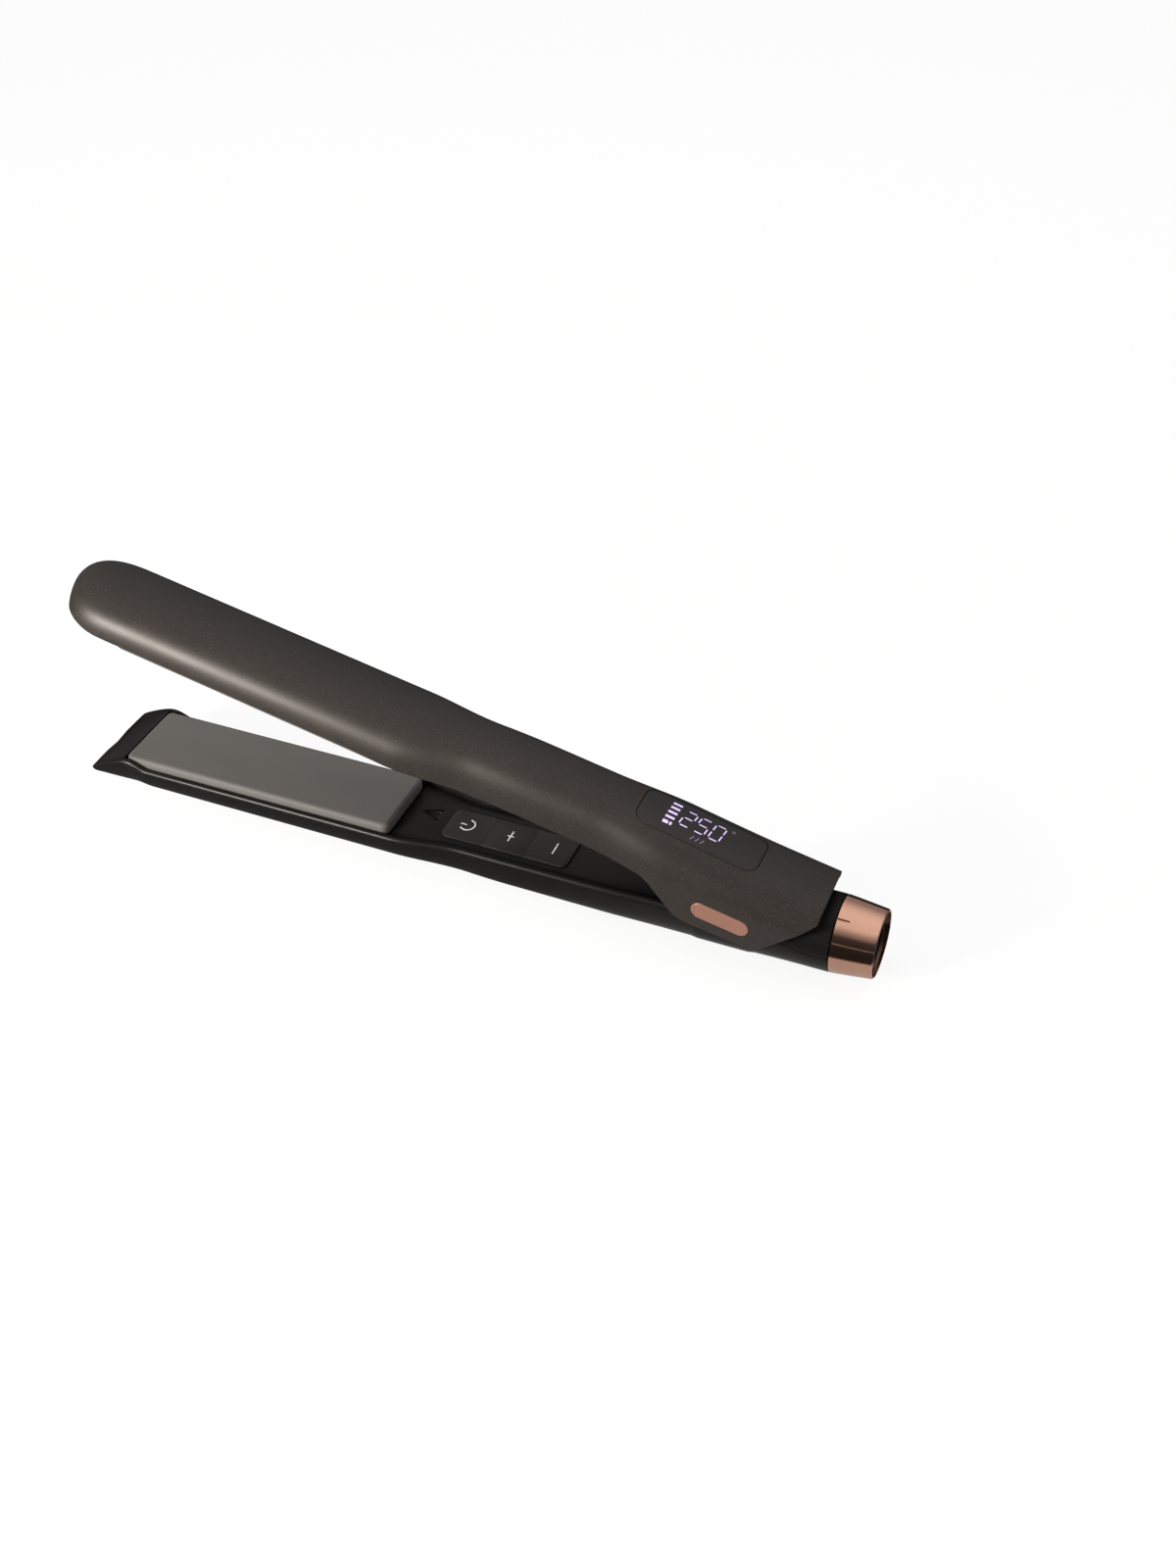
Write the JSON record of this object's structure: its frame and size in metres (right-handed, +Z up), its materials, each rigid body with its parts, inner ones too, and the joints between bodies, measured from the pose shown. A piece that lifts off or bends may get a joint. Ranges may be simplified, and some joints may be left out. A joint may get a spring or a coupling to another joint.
{
  "type": "hair straightener",
  "caption": "Spring-opened flat iron: two hinged arms with floating heated plates, three keys, a temperature display, a turning metal collar and a cord swivel.",
  "frame": {"origin": "on the face that the iron rests on, straight below the arm hinge, whose axis is 20 mm above it", "axes": "+X along the lower arm from the tip to the cord end, +Y along the hinge axis, +Z up, away from the lower arm's underside"},
  "size_m": [0.2904, 0.0344, 0.0889],
  "materials": {
    "shell_black": "soft-touch matte",
    "frame_black": "glossy",
    "plate_grey": "ceramic-coated satin",
    "ceramic_heater": "matte",
    "carrier_plastic": "moulded",
    "silicone_pad": "matte",
    "sensor_bead": "gloss",
    "lead_red": "satin",
    "lead_blue": "satin",
    "key_black": "satin",
    "circuit_board": "solder-masked",
    "switch_grey": "satin",
    "component_black": "moulded",
    "bracket_steel": "satin",
    "spring_steel": "drawn",
    "screw_steel": "zinc-plated",
    "rose_gold": "polished rose gold",
    "badge_copper": "satin copper",
    "swivel_black": "matte",
    "bush_bronze": "sintered",
    "window_smoke": "smoked satin",
    "display_white": "diffusing"
  },
  "bodies": {
    "lower_arm": {"lower_shell": "shell_black", "lower_frame": "frame_black", "lower_pads": "silicone_pad", "lower_leads": "lead_red", "mains_leads": "lead_blue", "control_board": "circuit_board", "tact_switches": "switch_grey", "board_parts": "component_black", "hinge_bracket": "bracket_steel", "hinge_pin": "spring_steel", "opening_spring": "spring_steel", "neck_cover": "shell_black", "neck_sleeve": "frame_black", "lower_screws": "screw_steel"},
    "lower_plate_set": {"lower_plate": "plate_grey", "lower_heater": "ceramic_heater", "lower_carrier": "carrier_plastic", "lower_thermistor": "sensor_bead", "lower_fuse": "spring_steel"},
    "power_key": {"power_key": "key_black"},
    "plus_key": {"plus_key": "key_black"},
    "minus_key": {"minus_key": "key_black"},
    "collar": {"lock_ring": "rose_gold"},
    "swivel": {"cord_swivel": "swivel_black"},
    "upper_arm": {"upper_shell": "shell_black", "upper_frame": "frame_black", "upper_pads": "silicone_pad", "upper_leads": "lead_red", "display_window": "window_smoke", "display_board": "circuit_board", "display_module": "display_white", "hinge_bushes": "bush_bronze", "badge_left": "badge_copper", "badge_right": "badge_copper", "upper_screws": "screw_steel"},
    "upper_plate_set": {"upper_plate": "plate_grey", "upper_heater": "ceramic_heater", "upper_carrier": "carrier_plastic", "upper_thermistor": "sensor_bead", "upper_fuse": "spring_steel"}
  },
  "joints": [
    {"name": "arm_hinge", "type": "hinge", "parent": "lower_arm", "child": "upper_arm", "pos_m": [0, 0, 0.02], "axis": [0, -1, 0], "range_deg": [0, 12.4], "stiffness_Nm_per_rad": 0.6, "deforming": ["opening_spring"]},
    {"name": "lower_plate_float", "type": "slide", "parent": "lower_arm", "child": "lower_plate_set", "axis": [0, 0, -1], "range_m": [0, 0.0008], "stiffness_N_per_m": 9000, "deforming": ["lower_pads"]},
    {"name": "upper_plate_float", "type": "slide", "parent": "upper_arm", "child": "upper_plate_set", "axis": [0.2147, 0, 0.9767], "range_m": [0, 0.0008], "stiffness_N_per_m": 9000, "deforming": ["upper_pads"]},
    {"name": "power_key_press", "type": "slide", "parent": "lower_arm", "child": "power_key", "axis": [0, 0, -1], "range_m": [0, 0.0004], "stiffness_N_per_m": 2000},
    {"name": "plus_key_press", "type": "slide", "parent": "lower_arm", "child": "plus_key", "axis": [0, 0, -1], "range_m": [0, 0.0004], "stiffness_N_per_m": 2000},
    {"name": "minus_key_press", "type": "slide", "parent": "lower_arm", "child": "minus_key", "axis": [0, 0, -1], "range_m": [0, 0.0004], "stiffness_N_per_m": 2000},
    {"name": "collar_turn", "type": "hinge", "parent": "lower_arm", "child": "collar", "pos_m": [0.042, 0, 0.01266], "axis": [1, 0, 0], "range_deg": [0, 40]},
    {"name": "cord_swivel_turn", "type": "hinge", "parent": "lower_arm", "child": "swivel", "pos_m": [0.037, 0, 0.01266], "axis": [1, 0, 0], "continuous": true}
  ]
}
